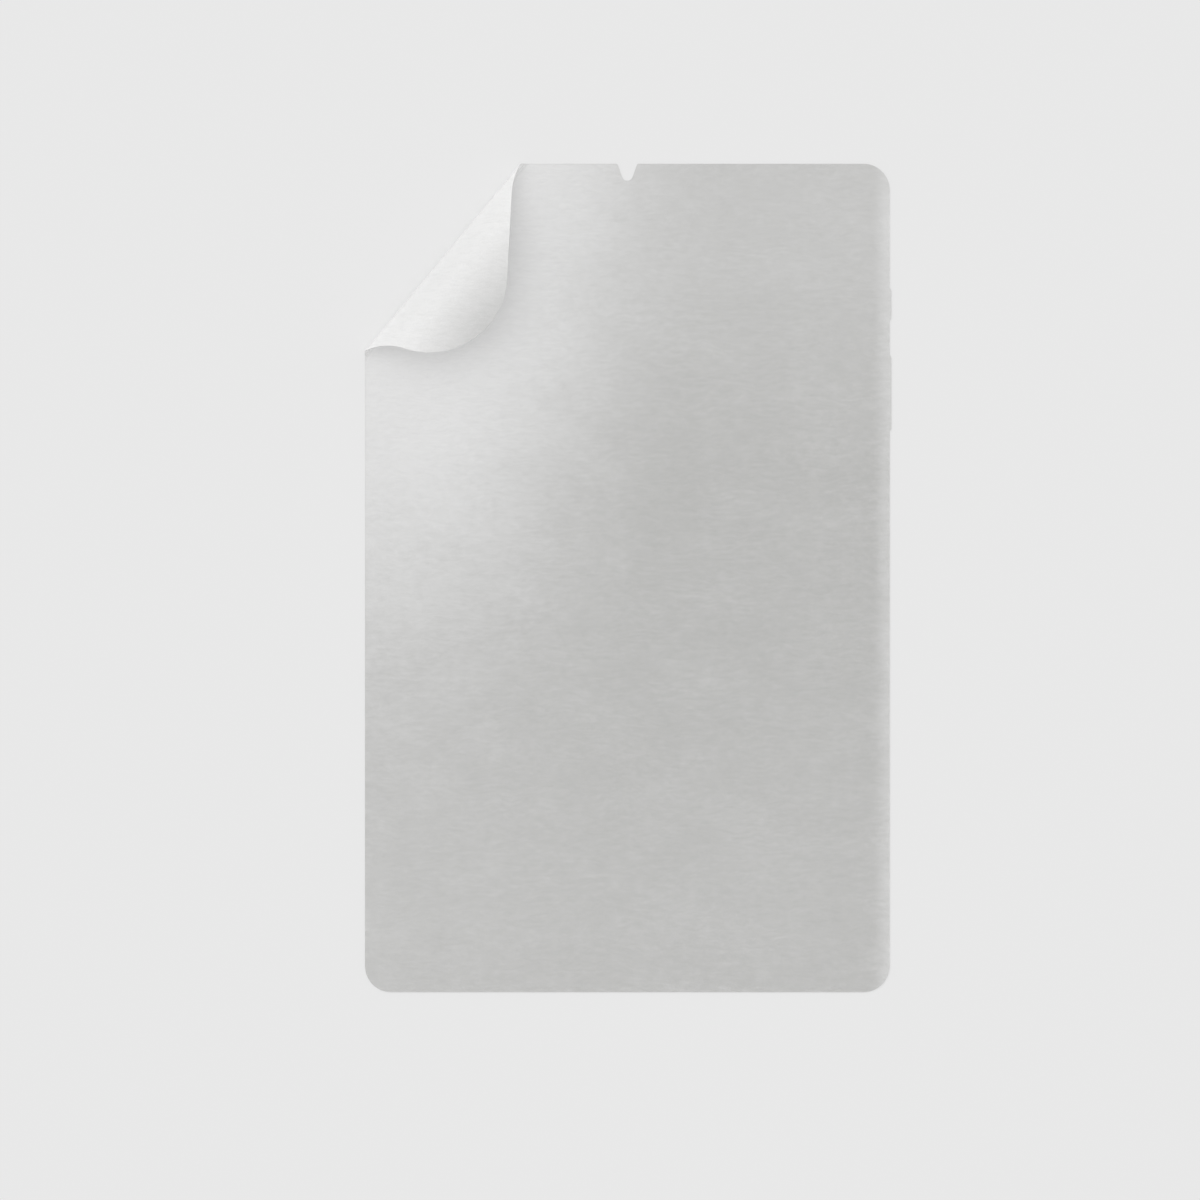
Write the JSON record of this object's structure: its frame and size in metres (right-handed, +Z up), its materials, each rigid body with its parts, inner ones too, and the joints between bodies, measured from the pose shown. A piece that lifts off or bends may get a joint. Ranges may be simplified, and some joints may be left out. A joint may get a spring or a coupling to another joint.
{
  "type": "screen protector",
  "caption": "Thin matte, paper-textured plastic film cut to a tablet's face, with a camera notch in its top edge, lying adhesive side down with a corner peeled up and rolled back.",
  "frame": {"origin": "middle of the sheet, on its adhesive underside", "axes": "+Z up out of the matte face, +Y towards the notched edge, +X towards the edge with the shallow tabs"},
  "size_m": [0.1529, 0.2406, 0.0106],
  "materials": {
    "matte_film": "matte"
  },
  "bodies": {
    "root": {"protector_film": "matte_film"}
  },
  "joints": []
}
